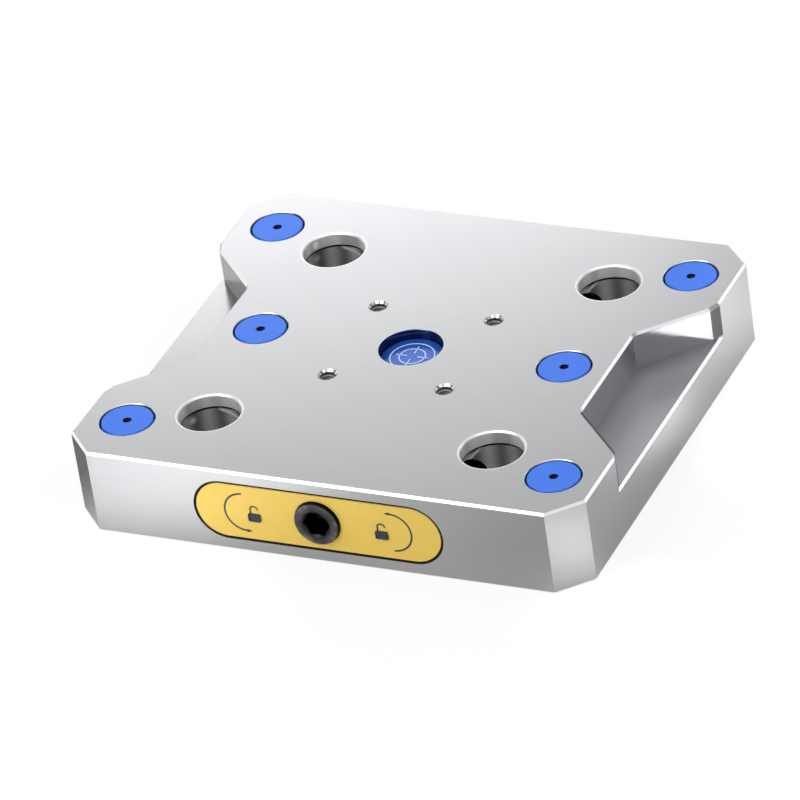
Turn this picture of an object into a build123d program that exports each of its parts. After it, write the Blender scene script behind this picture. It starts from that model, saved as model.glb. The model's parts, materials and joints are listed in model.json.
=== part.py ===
from build123d import *
import math
import os

# Zero point clamping plate. Four pull studs drop into the bores of a ground steel plate. A hex
# spindle in the front face draws a wedge slide forwards, and its ramps push four pins against them.
# Millimetres. Origin at the centre of the underside, +Z up, front face with the spindle towards -Y.
# The model stands in its open position, with the pins drawn back out of the bores.

# Plate
stud_pitch = 96.0
side_margin = 39.0
end_margin = 29.25
plate_height = 29.0
corner_cut = 9.8
edge_chamfer = 0.7
base_chamfer = 0.5

# Stud bores
stud_bore_radius = 10.0
stud_mouth = 0.45
stud_seat_depth = 4.3
stud_relief = 0.5

# Finger pockets in the two sides
grip_depth = 20.0
grip_floor_depth = 12.0
grip_half_width = 21.8
grip_corner_radius = 3.5
grip_break = 2.3

# Counterbored holes for the fastening screws, and the caps that close them
cap_inset_x = 14.75
cap_inset_y = 20.0
cap_bore_radius = 8.9
cap_bore_mouth = 0.2
cap_height = 5.5
cap_rim_gap = 0.6
cap_edge = 0.3
cap_flange_height = 1.2
cap_groove_height = 2.0
cap_groove_depth = 1.4
cap_pull_radius = 1.25
cap_pull_mouth = 0.35
cap_pull_depth = 4.0
head_bore_radius = 8.4
screw_seat_depth = 16.5
screw_hole_radius = 5.5

# Tapped holes around the centre
tap_pitch = 40.0
tap_radius = 2.5
tap_mouth_radius = 3.2
tap_depth = 12.0

# Centre bore and its plug
plug_bore_radius = 10.2
plug_mouth = 0.2
plug_recess = 3.4
plug_thickness = 1.2
plug_seal_thickness = 0.5
plug_shoulder = 2.0

# Oblong recess in the front with the sign plate
label_recess_length = 84.3
label_recess_height = 21.2
label_recess_depth = 2.8
label_gap = 0.9
label_setback = 0.1
label_thickness = 1.0
gasket_gap = 0.1
gasket_setback = 0.5
label_hole_gap = 0.2

# Spindle
head_radius = 7.5
head_stand = 1.3
head_rounding = 0.6
socket_flats = 8.0
socket_depth = 7.0
shaft_radius = 5.0
shaft_tip = 1.0
collar_step = 1.2
collar_thickness = 3.0
seal_groove_width = 1.9
seal_groove_depth = 1.4
seal_groove_inset = 5.2
washer_thickness = 1.0
bush_wall = 2.0
bush_setback = 0.15
bush_notch_width = 2.6
bush_notch_depth = 1.4
web_thickness = 4.0
web_hole_gap = 0.5
thread_lead = 3.0
spindle_turns = 2.0
thread_engaged = 31.5
thread_runout = 2.0

# Wedge slide and its channel
wedge_angle = 20.0
wedge_narrow = 8.0
wedge_waist = 9.0
wedge_land = 7.0
slide_rise = 6.9
slide_edge = 0.5
slide_end_gap = 1.0
channel_corner_radius = 3.0

# Clamping pins, their return springs and stop pins
pin_radius = 8.0
pin_stub_radius = 5.0
pin_stub_gap = 0.5
ramp_lead = 0.5
pin_setback = 0.3
nose_length = 3.0
nose_radius = 5.5
pin_edge = 0.3
keyway_half_width = 2.1
keyway_roof_drop = 3.5
stop_pin_radius = 2.0
stop_pin_inset = 9.5
stop_pin_recess = 0.7
spring_length = 7.4
spring_radius = 1.5
spring_wire = 0.5
spring_turns = 3
spring_drop = 5.4

# Bottom cover
cover_setback = 0.2
cover_thickness = 2.6
cover_gasket_thickness = 0.6
cover_ledge = 8.5
cover_front_ledge = 4.0
cover_corner_radius = 4.0
cover_gap = 0.15
gasket_window_gap = 1.0
cover_screw_inset = 6.0
cover_screw_radius = 1.45
cover_screw_head_radius = 2.9
cover_screw_length = 8.0
cover_screw_hole_gap = 0.2
cover_screw_socket = 2.0
cover_screw_socket_depth = 1.1

# Clearances per side
running_fit = 0.04
seated_fit = 0.02
ring_fit = 0.05
slide_gap = 0.3
touch_gap = 0.05
past = 1.0

# Places that follow from the sizes
plate_length = stud_pitch + 2 * side_margin
plate_width = stud_pitch + 2 * end_margin
stud_offset = stud_pitch / 2
mid_height = plate_height / 2
front_y = -plate_width / 2
side_x = plate_length / 2
grip_wall_x = side_x - grip_depth
relief_radius = stud_bore_radius + stud_relief
label_floor_y = front_y + label_recess_depth
label_back_y = front_y + label_setback + label_thickness

slide_travel = thread_lead * spindle_turns
ramp_slope = math.tan(math.radians(wedge_angle))
ramp_reach = pin_stub_radius + ramp_lead
ramp_length = 2 * ramp_reach + slide_travel
wedge_wide = wedge_narrow + ramp_length * ramp_slope
slide_front_y = -stud_offset - ramp_reach
slide_rear_y = stud_offset + ramp_reach + slide_travel
slide_top = mid_height + slide_rise
cover_top = cover_setback + cover_thickness
slide_bottom = cover_top + slide_gap

channel_half = wedge_wide + slide_gap
channel_ceiling = slide_top + slide_gap
channel_front_y = slide_front_y - slide_travel - slide_end_gap
channel_rear_y = slide_rear_y + channel_corner_radius + slide_end_gap
channel_length = channel_rear_y - channel_front_y
channel_middle_y = (channel_rear_y + channel_front_y) / 2

recess_half = channel_half + cover_ledge
recess_length = channel_length + 2 * cover_front_ledge
recess_top = cover_top + cover_gasket_thickness

collar_radius = head_radius + collar_step
gland_radius = head_radius + bush_wall
web_front_y = channel_front_y - web_thickness
collar_rear_y = web_front_y - washer_thickness
collar_front_y = collar_rear_y - collar_thickness
bush_rear_y = collar_front_y - washer_thickness
bush_front_y = label_floor_y + bush_setback
head_front_y = front_y - head_stand
tip_y = slide_front_y + thread_engaged

pin_nose_x = stud_offset - relief_radius - pin_setback
pin_shoulder_x = channel_half + pin_stub_gap
stop_pin_x = pin_nose_x - stop_pin_inset
keyway_outer_x = stop_pin_x + stop_pin_radius + slide_gap
spring_outer_x = stop_pin_x - stop_pin_radius - touch_gap
spring_inner_x = spring_outer_x - spring_length
keyway_inner_x = spring_inner_x - touch_gap

cap_seat_z = plate_height - cap_height
plug_face_z = plate_height - plug_recess
plug_disc_z = plug_face_z - plug_thickness
plug_seat_z = plug_disc_z - plug_seal_thickness
plug_spigot_radius = plug_bore_radius - plug_shoulder

corner_caps = {
    "front_left": (cap_inset_x - side_x, cap_inset_y + front_y),
    "front_right": (side_x - cap_inset_x, cap_inset_y + front_y),
    "rear_left": (cap_inset_x - side_x, -front_y - cap_inset_y),
    "rear_right": (side_x - cap_inset_x, -front_y - cap_inset_y),
}
middle_caps = {
    "middle_left": (cap_inset_x - grip_wall_x, 0),
    "middle_right": (grip_wall_x - cap_inset_x, 0),
}
cap_places = {**corner_caps, **middle_caps}
quadrants = [(-1, -1), (1, -1), (-1, 1), (1, 1)]
cover_screw_x = (channel_half + recess_half) / 2
cover_screw_reach = recess_length / 2 - cover_screw_inset
cover_screw_places = [
    (side * cover_screw_x, channel_middle_y + end * cover_screw_reach)
    for side in (-1, 1)
    for end in (-1, 0, 1)
]


def turned(*outline):
    """Solid of revolution about Z from the (radius, height) corners of its closed outline."""
    return revolve(Plane.XZ * make_face(Polyline(*outline, close=True)), Axis.Z)


def ring(inner, outer, low, high, edge=0.0):
    """Ring about Z, with its outer corners cut by edge."""
    if edge == 0.0:
        return turned((inner, low), (outer, low), (outer, high), (inner, high))
    return turned(
        (inner, low),
        (outer - edge, low),
        (outer, low + edge),
        (outer, high - edge),
        (outer - edge, high),
        (inner, high),
    )


def rod(radius, low, high):
    """Plain cylinder about Z."""
    return turned((0, low), (radius, low), (radius, high), (0, high))


def along_y(shape):
    """Lays a solid turned about Z along the spindle's axis, with its heights as Y."""
    return Pos(0, 0, mid_height) * Rot(-90, 0, 0) * shape


def along_x(shape, y):
    """Lays a solid turned about Z along a pin's axis, with its heights as X."""
    return Pos(0, y, mid_height) * Rot(0, 90, 0) * shape


def front_panel(length, height, outer_y, inner_y):
    """Oblong slab with round ends, parallel to the front face."""
    face = Plane((0, outer_y, mid_height), x_dir=(1, 0, 0), z_dir=(0, -1, 0))
    return extrude(face * SlotOverall(length, height), amount=outer_y - inner_y)


def grip_pocket():
    """Finger pocket at the +X side, with 45 degree end walls and a small break where they end."""
    cut = grip_break / math.sqrt(2)
    wall_end_y = grip_half_width + grip_depth
    half = [
        (side_x + past, wall_end_y + grip_break),
        (side_x, wall_end_y + grip_break),
        (side_x - cut, wall_end_y - cut),
        (grip_wall_x, grip_half_width),
    ]
    lower_half = [(x, -y) for x, y in reversed(half)]
    outline = make_face(Polyline(*half, *lower_half, close=True))
    outline = fillet(outline.vertices().sort_by(Axis.X)[:2], grip_corner_radius)
    floor_z = plate_height - grip_floor_depth
    return Pos(0, 0, floor_z) * extrude(outline, amount=grip_floor_depth + past)


def plate_blank():
    """Outer form of the plate, with its pockets and chamfered edges."""
    outline = chamfer(Rectangle(plate_length, plate_width).vertices(), corner_cut)
    blank = extrude(outline, amount=plate_height)
    pocket = grip_pocket()
    blank -= pocket
    blank -= mirror(pocket, about=Plane.YZ)
    floor_z = plate_height - grip_floor_depth
    floor_edges = blank.edges().filter_by(Axis.Y).filter_by_position(Axis.Z, floor_z, floor_z)
    floor_edges = floor_edges.sort_by(Axis.X)
    blank = chamfer([floor_edges[0], floor_edges[-1]], edge_chamfer)
    blank = chamfer(blank.faces().sort_by(Axis.Z)[-1].edges(), edge_chamfer)
    return chamfer(blank.faces().sort_by(Axis.Z)[0].edges(), base_chamfer)


def stud_bore():
    """Bore of one stud: chamfered mouth, ground seat and a relieved wall down to the underside."""
    seat_z = plate_height - stud_seat_depth
    return turned(
        (0, -past),
        (relief_radius, -past),
        (relief_radius, seat_z),
        (stud_bore_radius, seat_z),
        (stud_bore_radius, plate_height - stud_mouth),
        (stud_bore_radius + stud_mouth + past, plate_height + past),
        (0, plate_height + past),
    )


def screw_bore():
    """Stepped hole of one fastening screw, with the cap's seat above the screw's head."""
    head_z = plate_height - screw_seat_depth
    return turned(
        (0, -past),
        (screw_hole_radius, -past),
        (screw_hole_radius, head_z),
        (head_bore_radius, head_z),
        (head_bore_radius, cap_seat_z),
        (cap_bore_radius, cap_seat_z),
        (cap_bore_radius, plate_height - cap_bore_mouth),
        (cap_bore_radius + cap_bore_mouth + past, plate_height + past),
        (0, plate_height + past),
    )


def tapped_hole():
    """Blind tapped hole with a countersunk mouth and the drill's cone at its floor."""
    sink = tap_mouth_radius - tap_radius
    return turned(
        (0, plate_height - tap_depth - tap_radius / 2),
        (tap_radius, plate_height - tap_depth),
        (tap_radius, plate_height - sink),
        (tap_mouth_radius + past, plate_height + past),
        (0, plate_height + past),
    )


def plug_bore():
    """Centre bore with the plug's shoulder, open to the channel below."""
    return turned(
        (0, channel_ceiling - past),
        (plug_spigot_radius, channel_ceiling - past),
        (plug_spigot_radius, plug_seat_z),
        (plug_bore_radius, plug_seat_z),
        (plug_bore_radius, plate_height - plug_mouth),
        (plug_bore_radius + plug_mouth + past, plate_height + past),
        (0, plate_height + past),
    )


def gland_bore():
    """Stepped bore behind the sign plate that holds the spindle's collar and bush."""
    web_hole = shaft_radius + web_hole_gap
    return along_y(
        turned(
            (0, label_floor_y - past),
            (gland_radius, label_floor_y - past),
            (gland_radius, web_front_y),
            (web_hole, web_front_y),
            (web_hole, channel_front_y + past),
            (0, channel_front_y + past),
        )
    )


def channel():
    """Channel of the wedge slide, milled from below, with the cover's recess."""
    slot = RectangleRounded(2 * channel_half, channel_length, channel_corner_radius)
    recess = RectangleRounded(2 * recess_half, recess_length, cover_corner_radius)
    cut = Pos(0, channel_middle_y, -past) * extrude(slot, amount=channel_ceiling + past)
    return cut + Pos(0, channel_middle_y, -past) * extrude(recess, amount=recess_top + past)


def plate_body():
    """The one-piece steel plate."""
    body = plate_blank()
    body -= [Pos(x * stud_offset, y * stud_offset, 0) * stud_bore() for x, y in quadrants]
    body -= [Pos(x, y, 0) * screw_bore() for x, y in cap_places.values()]
    half_tap = tap_pitch / 2
    body -= [Pos(x * half_tap, y * half_tap, 0) * tapped_hole() for x, y in quadrants]
    body -= plug_bore()
    body -= front_panel(label_recess_length, label_recess_height, front_y - past, label_floor_y)
    body -= gland_bore()
    body -= channel()
    guide_radius = pin_radius + running_fit
    for end in (-1, 1):
        body -= along_x(rod(guide_radius, -stud_offset, stud_offset), end * stud_offset)
    stop_hole = rod(stop_pin_radius + seated_fit, -past, mid_height)
    body -= [Pos(x * stop_pin_x, y * stud_offset, 0) * stop_hole for x, y in quadrants]
    screw_hole = rod(cover_screw_radius + seated_fit, 0, cover_screw_length + past)
    body -= [Pos(x, y, 0) * screw_hole for x, y in cover_screw_places]
    return body


def label_hole(outer_y, inner_y):
    """Round hole for the spindle's head in a piece of the sign."""
    return along_y(rod(head_radius + label_hole_gap, outer_y, inner_y))


def label_panel(gap, outer_y):
    """Oblong slab of the sign from outer_y to its back, smaller than the recess by gap."""
    length = label_recess_length - 2 * gap
    height = label_recess_height - 2 * gap
    return front_panel(length, height, outer_y, label_back_y)


def label_plate():
    """Oblong sign plate, set back a little from the front face."""
    outer_y = front_y + label_setback
    return label_panel(label_gap, outer_y) - label_hole(outer_y - past, label_back_y + past)


def label_gasket():
    """Dark tray of rubber that fills the recess behind and around the sign plate."""
    outer_y = front_y + gasket_setback
    length = label_recess_length - 2 * gasket_gap
    height = label_recess_height - 2 * gasket_gap
    gasket = front_panel(length, height, outer_y, label_floor_y)
    gasket -= label_panel(label_gap - seated_fit, outer_y - past)
    return gasket - label_hole(outer_y - past, label_floor_y + past)


def spindle():
    """Hex socket spindle with a rounded head, a collar and a plain shaft for its thread."""
    groove_front_y = head_front_y + seal_groove_inset
    groove_rear_y = groove_front_y + seal_groove_width
    groove_radius = head_radius - seal_groove_depth
    body = turned(
        (0, head_front_y),
        (head_radius, head_front_y),
        (head_radius, groove_front_y),
        (groove_radius, groove_front_y),
        (groove_radius, groove_rear_y),
        (head_radius, groove_rear_y),
        (head_radius, collar_front_y),
        (collar_radius, collar_front_y),
        (collar_radius, collar_rear_y),
        (shaft_radius, collar_rear_y),
        (shaft_radius, tip_y - shaft_tip),
        (shaft_radius - shaft_tip, tip_y),
        (0, tip_y),
    )
    body = fillet(body.edges().sort_by(Axis.Z)[0], head_rounding)
    socket_corner = socket_flats / math.sqrt(3)
    hexagon = Pos(0, 0, head_front_y - past) * extrude(
        RegularPolygon(socket_corner, 6), amount=socket_depth + past
    )
    drill_cone = turned(
        (0, head_front_y + socket_depth - past),
        (socket_flats / 2, head_front_y + socket_depth - past),
        (socket_flats / 2, head_front_y + socket_depth),
        (0, head_front_y + socket_depth + socket_flats / 4),
    )
    mouth = turned(
        (0, head_front_y - past),
        (socket_corner + past, head_front_y - past),
        (0, head_front_y + socket_corner),
    )
    return along_y(body - hexagon - drill_cone - mouth)


def spindle_seal():
    """Sealing ring in the groove of the spindle's head."""
    low = head_front_y + seal_groove_inset + touch_gap
    high = low + seal_groove_width - 2 * touch_gap
    inner = head_radius - seal_groove_depth + ring_fit
    return along_y(ring(inner, head_radius, low, high, edge=seal_groove_width / 4))


def retaining_bush():
    """Screwed bush that holds the spindle's collar, with two notches for a face spanner."""
    bush = ring(head_radius + ring_fit, gland_radius - ring_fit, bush_front_y, bush_rear_y)
    notch = Pos(0, 0, bush_front_y + bush_notch_depth / 2 - past / 2) * Box(
        2 * gland_radius + past, bush_notch_width, bush_notch_depth + past
    )
    return along_y(bush - notch)


def front_thrust_washer():
    """Bearing washer between the collar and the bush, around the head."""
    return along_y(
        ring(head_radius + 2 * ring_fit, gland_radius - ring_fit, bush_rear_y, collar_front_y)
    )


def rear_thrust_washer():
    """Bearing washer between the collar and the plate, around the shaft."""
    return along_y(
        ring(shaft_radius + 2 * ring_fit, gland_radius - ring_fit, collar_rear_y, web_front_y)
    )


def wedge_slide():
    """Slide with a ramp beside each pin, widening to the rear, and a blind bore for the spindle."""
    front_ramp_y = slide_front_y + ramp_length
    rear_ramp_y = stud_offset - ramp_reach
    step = wedge_wide - wedge_waist
    neck = wedge_wide - wedge_narrow
    right = [
        (wedge_narrow, slide_front_y),
        (wedge_wide, front_ramp_y),
        (wedge_wide, front_ramp_y + wedge_land),
        (wedge_waist, front_ramp_y + wedge_land + step),
        (wedge_waist, rear_ramp_y - wedge_land - neck - step),
        (wedge_wide, rear_ramp_y - wedge_land - neck),
        (wedge_wide, rear_ramp_y - neck),
        (wedge_narrow, rear_ramp_y),
        (wedge_wide, slide_rear_y),
    ]
    left = [(-x, y) for x, y in reversed(right)]
    outline = make_face(Polyline(*right, *left, close=True))
    slide = Pos(0, 0, slide_bottom) * extrude(outline, amount=slide_top - slide_bottom)
    ends = slide.faces().filter_by(Axis.Y).sort_by(Axis.Y)
    slide = chamfer(ends[0].edges() + ends[-1].edges().filter_by(Axis.X), slide_edge)
    bore_end_y = tip_y + slide_travel + thread_runout
    bore = along_y(
        turned(
            (0, slide_front_y - past),
            (shaft_radius + ring_fit, slide_front_y - past),
            (shaft_radius + ring_fit, bore_end_y),
            (0, bore_end_y + shaft_radius / 2),
        )
    )
    return slide - bore


def clamping_pin(end):
    """Right-hand pin of one row: tail cut to the ramp's angle, keyway below, tapered nose."""
    y = end * stud_offset
    pin = turned(
        (0, wedge_narrow),
        (pin_stub_radius, wedge_narrow),
        (pin_stub_radius, pin_shoulder_x),
        (pin_radius - pin_edge, pin_shoulder_x),
        (pin_radius, pin_shoulder_x + pin_edge),
        (pin_radius, pin_nose_x - nose_length),
        (nose_radius, pin_nose_x),
        (0, pin_nose_x),
    )
    contact_x = wedge_narrow + ramp_reach * ramp_slope + touch_gap
    ramp = make_face(
        Polyline(
            (0, -pin_radius),
            (contact_x - pin_radius * ramp_slope, -pin_radius),
            (contact_x + pin_radius * ramp_slope, pin_radius),
            (0, pin_radius),
            close=True,
        )
    )
    tail_cut = Pos(0, y, 0) * extrude(ramp, amount=plate_height)
    keyway_length = keyway_outer_x - keyway_inner_x
    keyway = Pos(keyway_inner_x + keyway_length / 2, y, mid_height - keyway_roof_drop) * Box(
        keyway_length, 2 * keyway_half_width, pin_radius, align=(Align.CENTER, Align.CENTER, Align.MAX)
    )
    return along_x(pin, y) - tail_cut - keyway


def return_spring(end):
    """Coil spring with ground ends between a pin's keyway and its stop pin."""
    pitch = spring_length / spring_turns
    path = Helix(pitch=pitch, height=spring_length + pitch, radius=spring_radius)
    wire = Plane(path @ 0, z_dir=path % 0) * Rectangle(spring_wire, spring_wire)
    coil = Pos(0, 0, -pitch / 2) * sweep(wire, path=path, is_frenet=True)
    coil &= rod(2 * spring_radius, 0, spring_length)
    return Pos(spring_inner_x, 0, -spring_drop) * along_x(coil, end * stud_offset)


def stop_pins():
    """Four dowels from below that keep the clamping pins from turning and stop their return."""
    dowel = rod(stop_pin_radius, stop_pin_recess, mid_height - keyway_roof_drop - slide_gap)
    return [Pos(x * stop_pin_x, y * stud_offset, 0) * dowel for x, y in quadrants]


def cover_outline(gap):
    """Outline of the cover's recess, smaller by a gap all round."""
    width = 2 * (recess_half - gap)
    return RectangleRounded(width, recess_length - 2 * gap, cover_corner_radius - gap)


def bottom_cover():
    """Cover plate of the channel, with countersunk screw holes."""
    cover = extrude(cover_outline(cover_gap), amount=cover_thickness)
    cover = Pos(0, channel_middle_y, cover_setback) * cover
    hole_radius = cover_screw_radius + cover_screw_hole_gap
    sink_radius = cover_screw_head_radius + cover_screw_hole_gap
    sink_depth = sink_radius - hole_radius
    hole = turned(
        (0, cover_setback - past),
        (sink_radius + past, cover_setback - past),
        (hole_radius, cover_setback + sink_depth),
        (hole_radius, cover_top + past),
        (0, cover_top + past),
    )
    return cover - [Pos(x, y, 0) * hole for x, y in cover_screw_places]


def cover_gasket():
    """Flat gasket between the cover and the plate, open over the channel."""
    window = RectangleRounded(
        2 * (channel_half + gasket_window_gap),
        channel_length + 2 * gasket_window_gap,
        channel_corner_radius + gasket_window_gap,
    )
    gasket = extrude(cover_outline(cover_gap) - window, amount=cover_gasket_thickness)
    hole = rod(cover_screw_radius + cover_screw_hole_gap, cover_top - past, recess_top + past)
    return Pos(0, channel_middle_y, cover_top) * gasket - [
        Pos(x, y, 0) * hole for x, y in cover_screw_places
    ]


def cover_screws():
    """Six countersunk socket screws of the cover."""
    head_depth = cover_screw_head_radius - cover_screw_radius
    screw = turned(
        (0, cover_setback),
        (cover_screw_head_radius, cover_setback),
        (cover_screw_radius, cover_setback + head_depth),
        (cover_screw_radius, cover_setback + cover_screw_length),
        (0, cover_setback + cover_screw_length),
    )
    socket = RegularPolygon(cover_screw_socket / math.sqrt(3), 6)
    screw -= Pos(0, 0, cover_setback) * extrude(socket, amount=cover_screw_socket_depth)
    return [Pos(x, y, 0) * screw for x, y in cover_screw_places]


def screw_cap():
    """Cap of one screw hole: flange on the seat, groove for its ring and a tapped pull hole."""
    disc_radius = cap_bore_radius - cap_rim_gap
    flange_radius = cap_bore_radius - running_fit
    groove_radius = disc_radius - cap_groove_depth
    groove_z = cap_seat_z + cap_flange_height
    pull_floor = plate_height - cap_pull_depth
    return turned(
        (0, cap_seat_z),
        (flange_radius, cap_seat_z),
        (flange_radius, groove_z),
        (groove_radius, groove_z),
        (groove_radius, groove_z + cap_groove_height),
        (disc_radius, groove_z + cap_groove_height),
        (disc_radius, plate_height - cap_edge),
        (disc_radius - cap_edge, plate_height),
        (cap_pull_radius + cap_pull_mouth, plate_height),
        (cap_pull_radius, plate_height - cap_pull_mouth),
        (cap_pull_radius, pull_floor),
        (0, pull_floor),
    )


def cap_seal():
    """Sealing ring in the groove of a cap."""
    inner = cap_bore_radius - cap_rim_gap - cap_groove_depth + ring_fit
    low = cap_seat_z + cap_flange_height + touch_gap
    high = low + cap_groove_height - 2 * touch_gap
    return ring(inner, cap_bore_radius - ring_fit, low, high)


def centre_plug():
    """Plug of the centre bore, with a spigot through its shoulder."""
    spigot = plug_spigot_radius - running_fit
    disc = plug_bore_radius - running_fit
    return turned(
        (0, channel_ceiling),
        (spigot, channel_ceiling),
        (spigot, plug_disc_z),
        (disc, plug_disc_z),
        (disc, plug_face_z - cap_edge),
        (disc - cap_edge, plug_face_z),
        (0, plug_face_z),
    )


def centre_plug_seal():
    """Flat ring under the plug's disc, on the shoulder."""
    return ring(plug_spigot_radius, plug_bore_radius - ring_fit, plug_seat_z, plug_disc_z)


def mirrored(shape):
    """The same piece at the -X side."""
    return mirror(shape, about=Plane.YZ)


def pieces():
    """Every node's name with its solids."""
    made = {
        "plate_body": [plate_body()],
        "label_plate": [label_plate()],
        "label_gasket": [label_gasket()],
        "spindle": [spindle()],
        "spindle_seal": [spindle_seal()],
        "retaining_bush": [retaining_bush()],
        "front_thrust_washer": [front_thrust_washer()],
        "rear_thrust_washer": [rear_thrust_washer()],
        "wedge_slide": [wedge_slide()],
        "stop_pins": stop_pins(),
        "bottom_cover": [bottom_cover()],
        "cover_gasket": [cover_gasket()],
        "cover_screws": cover_screws(),
        "centre_plug": [centre_plug()],
        "centre_plug_seal": [centre_plug_seal()],
    }
    for end, row in ((-1, "front"), (1, "rear")):
        pin = clamping_pin(end)
        spring = return_spring(end)
        made[f"clamping_pin_{row}_right"] = [pin]
        made[f"clamping_pin_{row}_left"] = [mirrored(pin)]
        made[f"return_spring_{row}_right"] = [spring]
        made[f"return_spring_{row}_left"] = [mirrored(spring)]
    for name, (x, y) in cap_places.items():
        made[f"cap_{name}"] = [Pos(x, y, 0) * screw_cap()]
        made[f"cap_seal_{name}"] = [Pos(x, y, 0) * cap_seal()]
    return made


os.makedirs("parts", exist_ok=True)
for node, solids in pieces().items():
    shape = solids[0] if len(solids) == 1 else Compound(children=solids)
    export_step(shape, f"parts/{node}.step")
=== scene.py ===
"""Looks of a zero point clamping plate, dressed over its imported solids.

Metres, in the frame of the solids: origin at the centre of the underside, +Z up, the front face
with the spindle towards -Y.
"""
import json
import math

import bpy
from mathutils import Matrix, Vector


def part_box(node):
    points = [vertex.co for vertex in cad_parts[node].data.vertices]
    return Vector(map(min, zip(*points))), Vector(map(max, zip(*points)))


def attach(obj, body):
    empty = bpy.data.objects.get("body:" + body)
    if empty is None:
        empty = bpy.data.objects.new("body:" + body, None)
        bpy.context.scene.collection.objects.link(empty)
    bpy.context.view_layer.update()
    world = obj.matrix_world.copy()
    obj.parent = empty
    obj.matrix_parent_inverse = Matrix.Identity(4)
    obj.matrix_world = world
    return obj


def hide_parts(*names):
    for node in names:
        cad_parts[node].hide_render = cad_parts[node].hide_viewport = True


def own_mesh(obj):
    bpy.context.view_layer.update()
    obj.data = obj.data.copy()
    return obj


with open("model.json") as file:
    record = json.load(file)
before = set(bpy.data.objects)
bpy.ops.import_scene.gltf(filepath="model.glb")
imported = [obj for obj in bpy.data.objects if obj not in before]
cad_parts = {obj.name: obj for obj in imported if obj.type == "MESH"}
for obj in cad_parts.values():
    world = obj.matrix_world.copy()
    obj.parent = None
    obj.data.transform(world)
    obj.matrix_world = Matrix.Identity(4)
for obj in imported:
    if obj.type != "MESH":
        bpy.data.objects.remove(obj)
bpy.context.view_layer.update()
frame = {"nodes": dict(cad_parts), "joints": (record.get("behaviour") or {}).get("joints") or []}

bl_info = {
    "name": "Zero Point Clamping Plate",
    "version": (1, 0, 0),
    "blender": (4, 5, 0),
    "location": "3D View > Sidebar > Clamping Plate",
    "description": "Finishes, threads, springs and sign marks of a zero point clamping plate",
    "category": "Add Mesh",
}

MM = 0.001
SPINDLE_Z = 0.0145
STUD_PITCH = 0.096
TAP_PITCH = 0.04
LEFT_RIGHT = (("left", -1), ("right", 1))
FRONT_REAR = (("front", -1), ("rear", 1))
QUADRANTS = [
    (f"{row}_{side}", sign_x, sign_y) for row, sign_y in FRONT_REAR for side, sign_x in LEFT_RIGHT
]
CAP_NAMES = [name for name, _, _ in QUADRANTS] + ["middle_left", "middle_right"]
# Share of a print's thickness by which its middle stands off its plate, and the angle in degrees
# above which its edges stay sharp
PRINT_LIFT = 0.4
PRINT_EDGE_ANGLE = 20


# Sizes and colours that a user would change


def colour(name, default, description):
    """Colour property of a finish."""
    return bpy.props.FloatVectorProperty(
        name=name, description=description, default=default, subtype="COLOR", size=3, min=0, max=1
    )


def share(name, default, description):
    """Property from 0 to 1, such as a roughness."""
    return bpy.props.FloatProperty(
        name=name, description=description, default=default, min=0, max=1, subtype="FACTOR"
    )


def length(name, default, description):
    """Length property in metres."""
    return bpy.props.FloatProperty(
        name=name, description=description, default=default, unit="LENGTH", precision=5
    )


def power(name, default, description):
    """Power property of a lamp."""
    return bpy.props.FloatProperty(
        name=name, description=description, default=default, unit="POWER"
    )


def brightness(name, default, description):
    """Brightness property, where 1 is white."""
    return bpy.props.FloatProperty(name=name, description=description, default=default)


class ClampPlateFinishes(bpy.types.PropertyGroup):
    """Colours and gloss of the plate's materials."""

    steel: colour("Ground steel", (0.575, 0.58, 0.595), "Colour of the ground plate")
    steel_gloss: share("Steel roughness", 0.3, "Roughness of the ground faces")
    # Lighter than the plate's steel, as painted light in the bores and on the chamfers
    bore: colour("Bore seat", (0.85, 0.85, 0.86), "Colour of the ground seats of the stud bores")
    relief: colour("Bore wall", (0.5, 0.5, 0.51), "Colour of the walls below the seats")
    hardened: colour("Hardened steel", (0.42, 0.42, 0.43), "Colour of the slide and the dowels")
    black: colour("Black oxide", (0.018, 0.018, 0.02), "Colour of the spindle and the pins")
    blue: colour("Blue anodising", (0.025, 0.165, 0.78), "Colour of the caps and the plug")
    gold: colour("Gold anodising", (0.93, 0.65, 0.125), "Colour of the sign plate")
    bronze: colour("Bearing bronze", (0.55, 0.36, 0.16), "Colour of the bush and the washers")
    cover: colour("Cover aluminium", (0.62, 0.63, 0.65), "Colour of the bottom cover")
    rubber: colour("Rubber", (0.012, 0.012, 0.014), "Colour of the seals and gaskets")
    ink: colour("Sign ink", (0.035, 0.05, 0.075), "Colour of the arrows and signs")
    print_white: colour("Plug print", (0.62, 0.7, 0.95), "Colour of the mark on the plug")


class ClampPlateSigns(bpy.types.PropertyGroup):
    """Sizes of the marks on the sign plate and the plug."""

    arrow_x: length("Arrow place", 0.02475, "Distance of each arrow's centre from the spindle")
    arrow_radius: length("Arrow radius", 0.0068, "Radius of the arrows' arcs")
    line_width: length("Line width", 0.0006, "Width of the printed lines")
    print_height: length("Print thickness", 0.00004, "How far a print stands on its plate")
    lock_x: length("Lock place", 0.0215, "Distance of each lock sign from the spindle")
    lock_width: length("Lock width", 0.0042, "Width of a lock sign's body")
    datum_radius: length("Datum ring", 0.0042, "Radius of the ring on the centre plug")


class ClampPlateDetails(bpy.types.PropertyGroup):
    """Sizes of the threads and springs."""

    tap_pitch: length("M6 pitch", 0.001, "Pitch of the thread in the tapped holes")
    pull_pitch: length("M3 pitch", 0.0005, "Pitch of the thread in the caps' pull holes")
    spring_wire: length("Spring wire", 0.0005, "Diameter of the return springs' wire")
    spring_turns: bpy.props.IntProperty(
        name="Spring turns", description="Number of turns of a return spring", default=3, min=2
    )


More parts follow.
